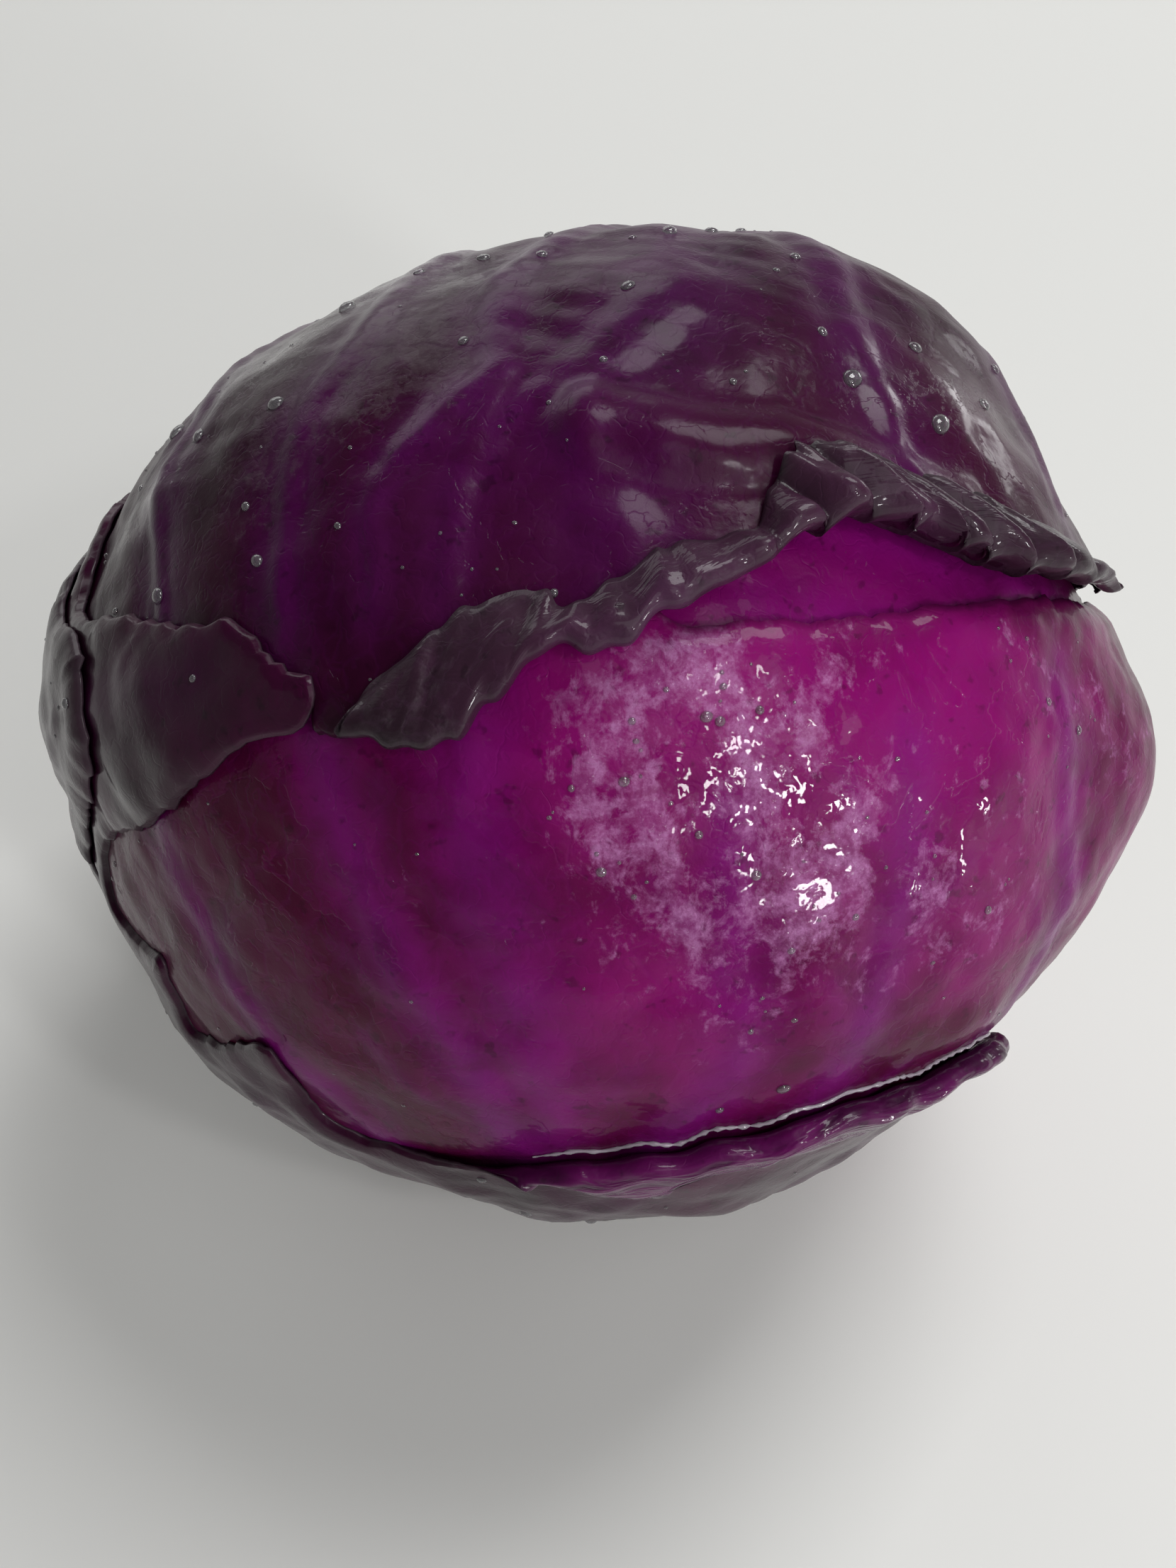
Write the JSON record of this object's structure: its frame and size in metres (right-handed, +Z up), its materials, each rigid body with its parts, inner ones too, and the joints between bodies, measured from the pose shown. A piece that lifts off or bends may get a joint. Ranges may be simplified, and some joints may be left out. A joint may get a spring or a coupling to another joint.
{
  "type": "red cabbage",
  "caption": "Whole red cabbage head on its cut stem: a dense round ball wrapped in overlapping ribbed leaves with rolled, ruffled and torn margins.",
  "frame": {"origin": "middle of the stem's flat cut face, on the surface that the head stands on", "axes": "+Z up from the stem to the crown; -Y is the front, towards the bright bare leaf; +X is the right of that front"},
  "size_m": [0.1638, 0.1551, 0.157],
  "materials": {
    "cut_stem": "matt, freshly cut pale green stem",
    "inner_leaves": "satin, tightly folded pale violet leaves",
    "violet_under_leaf": "wet violet leaf",
    "bright_front_leaf": "wet magenta leaf with patches of pale wax",
    "dark_crown_leaf": "wet dark purple leaf with violet ribs",
    "torn_collar_leaf": "wet dark purple leaf with a torn rim",
    "torn_side_leaf": "wet dark purple leaf with a torn rim"
  },
  "bodies": {
    "root": {"cut_stem": "cut_stem", "inner_leaves": "inner_leaves", "violet_under_leaf": "violet_under_leaf", "bright_front_leaf": "bright_front_leaf", "dark_crown_leaf": "dark_crown_leaf", "torn_collar_leaf": "torn_collar_leaf", "torn_side_leaf": "torn_side_leaf"}
  },
  "joints": []
}
